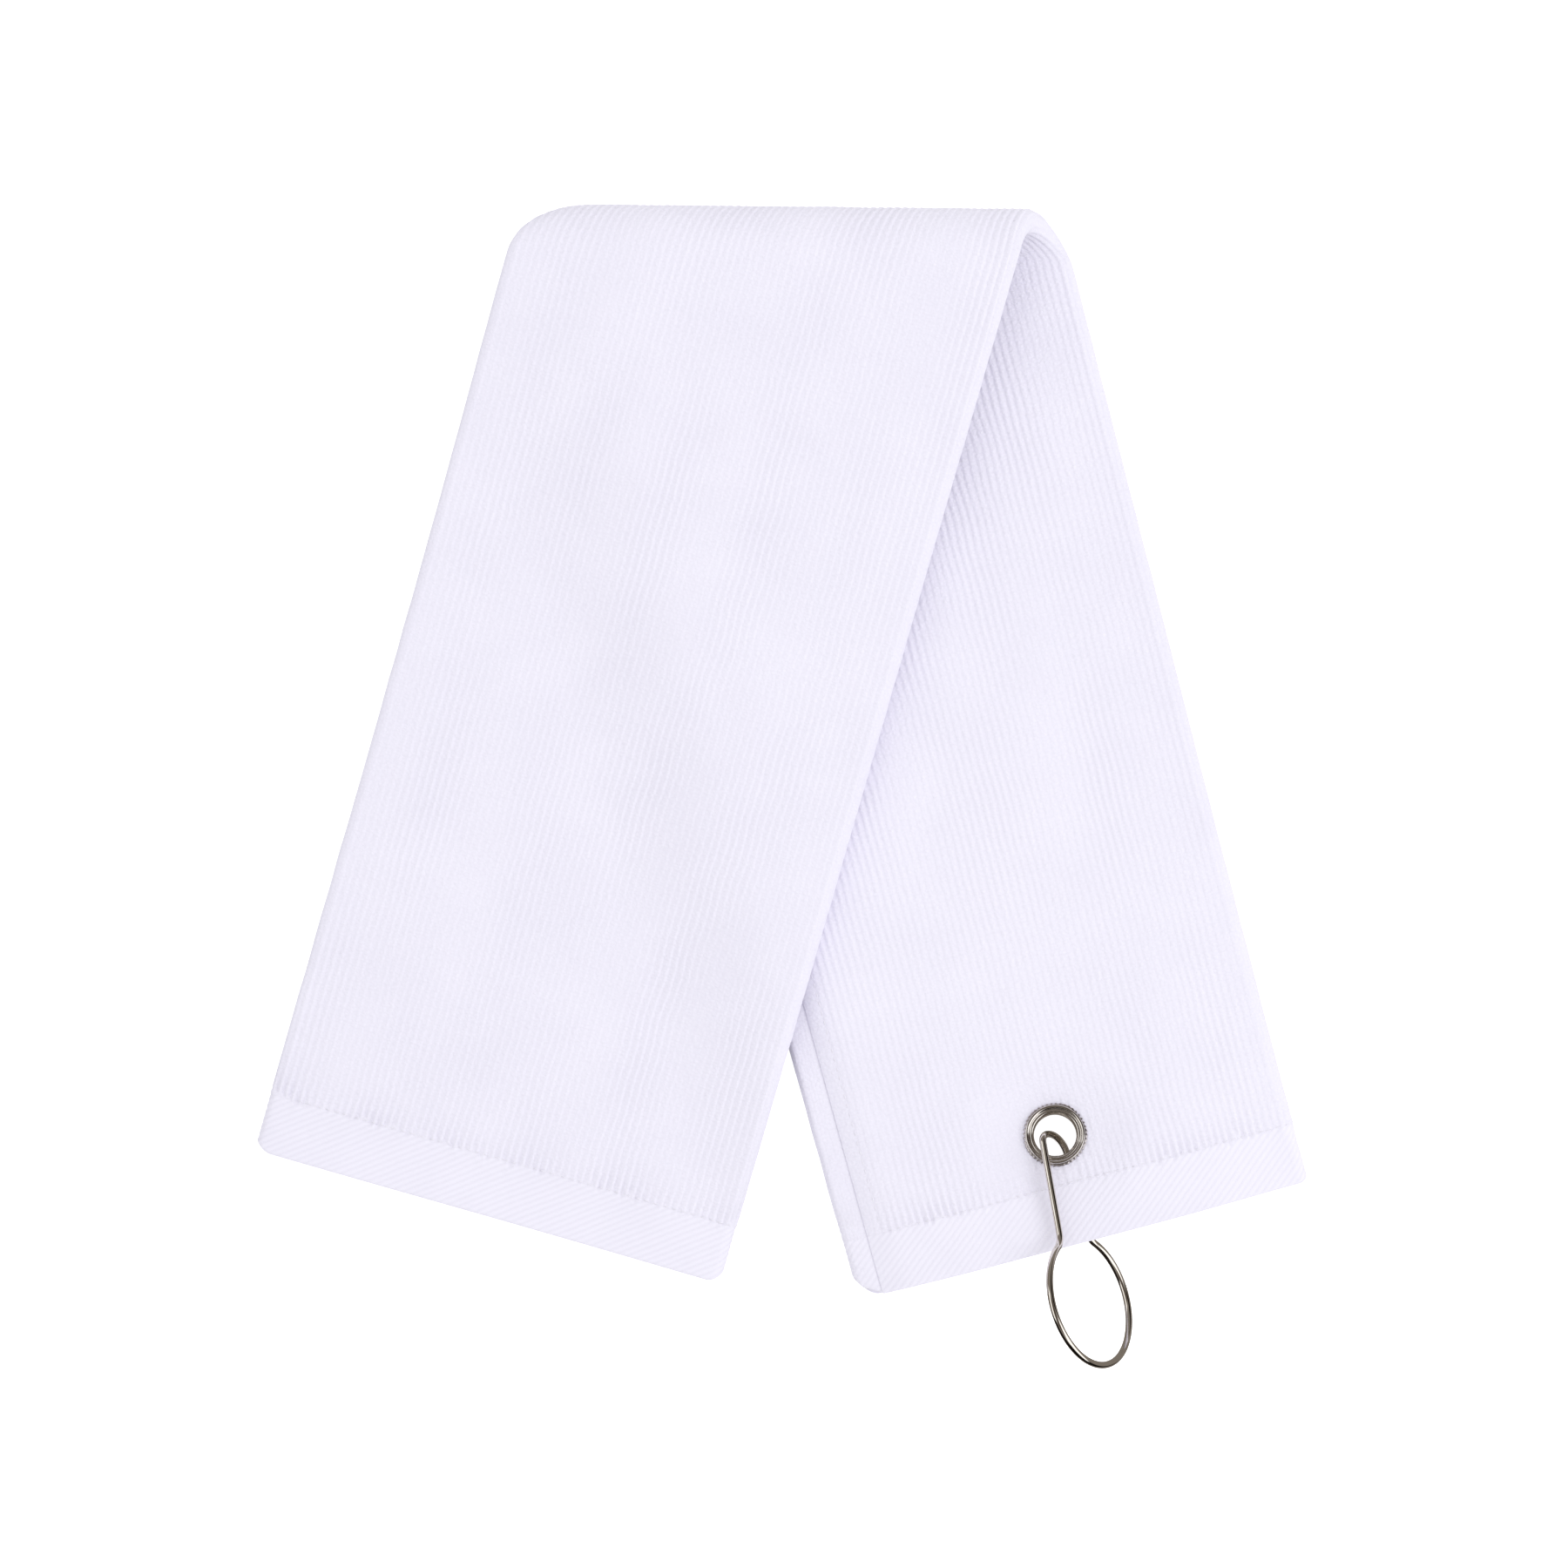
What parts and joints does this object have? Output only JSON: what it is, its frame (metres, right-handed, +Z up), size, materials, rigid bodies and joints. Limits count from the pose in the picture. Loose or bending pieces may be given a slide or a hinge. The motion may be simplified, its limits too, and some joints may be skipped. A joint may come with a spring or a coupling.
{
  "type": "golf towel",
  "caption": "Ribbed cotton golf towel, folded in three lengthwise and then in half at a slant, with a metal grommet through one end and a bulb-shaped wire hook to hang it from.",
  "frame": {"origin": "middle of the folded towel's footprint, on the surface it rests on", "axes": "+Z up from the table, +Y towards the half-fold, so both legs point towards -Y and the hook is at the -Y end"},
  "size_m": [0.3012, 0.3355, 0.0337],
  "materials": {
    "terry": "white ribbed cotton velour terry",
    "thread": "white sewing thread",
    "nickel": "polished nickel plate"
  },
  "bodies": {
    "lower_leg": {"back_panel": "terry", "grommet_end_hem_thread": "thread", "flap_hem_thread_back": "thread", "grommet_eyelet": "nickel", "grommet_washer": "nickel"},
    "roll_lower": {"fold_lower": "terry"},
    "roll_middle": {"fold_middle": "terry"},
    "roll_upper": {"fold_upper": "terry"},
    "upper_leg": {"front_panel": "terry", "free_end_hem_thread": "thread", "flap_hem_thread_front": "thread"},
    "hook": {"hook_wire": "nickel"},
    "latch_arm": {"hook_latch_arm": "nickel"}
  },
  "joints": [
    {"name": "unfold_1", "type": "hinge", "parent": "lower_leg", "child": "roll_lower", "pos_m": [0.00113, 0.15931, 0.00114], "axis": [-1, 0, 0], "range_deg": [0, 45.8]},
    {"name": "unfold_2", "type": "hinge", "parent": "roll_lower", "child": "roll_middle", "pos_m": [0.00113, 0.16718, 0.00923], "axis": [-1, 0, 0], "range_deg": [0, 45.8]},
    {"name": "unfold_3", "type": "hinge", "parent": "roll_middle", "child": "roll_upper", "pos_m": [0.00113, 0.16686, 0.02051], "axis": [-1, 0, 0], "range_deg": [0, 45.8]},
    {"name": "unfold_4", "type": "hinge", "parent": "roll_upper", "child": "upper_leg", "pos_m": [0.00113, 0.15856, 0.02815], "axis": [-1, 0, 0], "range_deg": [0, 45.8]},
    {"name": "hook_swing", "type": "hinge", "parent": "lower_leg", "child": "hook", "pos_m": [0.07814, -0.10131, 0.0069], "axis": [-0.0537, 0.1938, 0.9796], "range_deg": [-40, 40]},
    {"name": "latch_flex", "type": "hinge", "parent": "hook", "child": "latch_arm", "pos_m": [0.08196, -0.10765, 0.00348], "axis": [0.5791, 0.0312, -0.8146], "range_deg": [0, 12]}
  ]
}
